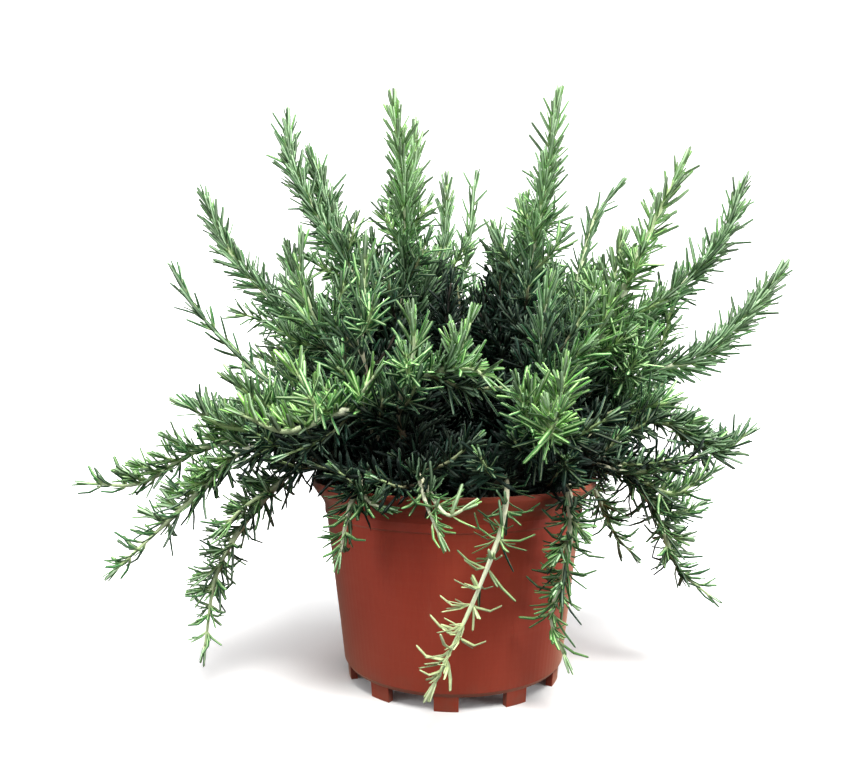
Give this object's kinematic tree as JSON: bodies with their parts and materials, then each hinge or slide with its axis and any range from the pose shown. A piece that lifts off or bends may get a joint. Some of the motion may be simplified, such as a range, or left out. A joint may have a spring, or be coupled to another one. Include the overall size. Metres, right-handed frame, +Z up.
{
  "type": "potted rosemary plant",
  "caption": "Spreading rosemary with upright, arching and trailing needle-leaved stems, growing in compost in a round plastic nursery pot with a flared rim and a notched foot.",
  "frame": {"origin": "middle of the pot's foot, on the surface that the pot stands on", "axes": "+Z up along the pot's axis, -Y towards the side that the picture shows, +X to that view's right"},
  "size_m": [0.4927, 0.3246, 0.3974],
  "materials": {
    "pot_plastic": "satin",
    "compost": "matte",
    "foliage": "matte"
  },
  "bodies": {
    "root": {"pot": "pot_plastic", "compost": "compost", "spray_tall_left": "foliage", "spray_high_left": "foliage", "spray_mid_left": "foliage", "spray_bright_left": "foliage", "spray_low_left": "foliage", "spray_long_left": "foliage", "spray_drooping_left": "foliage", "spray_hanging_left": "foliage", "spray_front_left": "foliage", "spray_front_mid_left": "foliage", "spray_tall_mid": "foliage", "spray_back_mid": "foliage", "spray_tall_right": "foliage", "spray_back_right": "foliage", "spray_high_right": "foliage", "spray_far_right": "foliage", "spray_long_right": "foliage", "spray_front_mid": "foliage", "spray_front_right": "foliage", "spray_inner_right": "foliage", "spray_low_right": "foliage", "spray_hanging_right": "foliage", "spray_hanging_back_right": "foliage", "spray_over_rim_right": "foliage", "spray_over_rim_front": "foliage", "spray_over_rim_left": "foliage", "spray_over_rim_small": "foliage", "spray_back_tall_left": "foliage", "spray_back_low_left": "foliage", "spray_back_tall": "foliage", "spray_back_hanging": "foliage", "spray_back_hanging_right": "foliage", "spray_back_wide_right": "foliage", "spray_back_hanging_left": "foliage", "spray_back_long_right": "foliage", "spray_back_long_left": "foliage"}
  },
  "joints": []
}
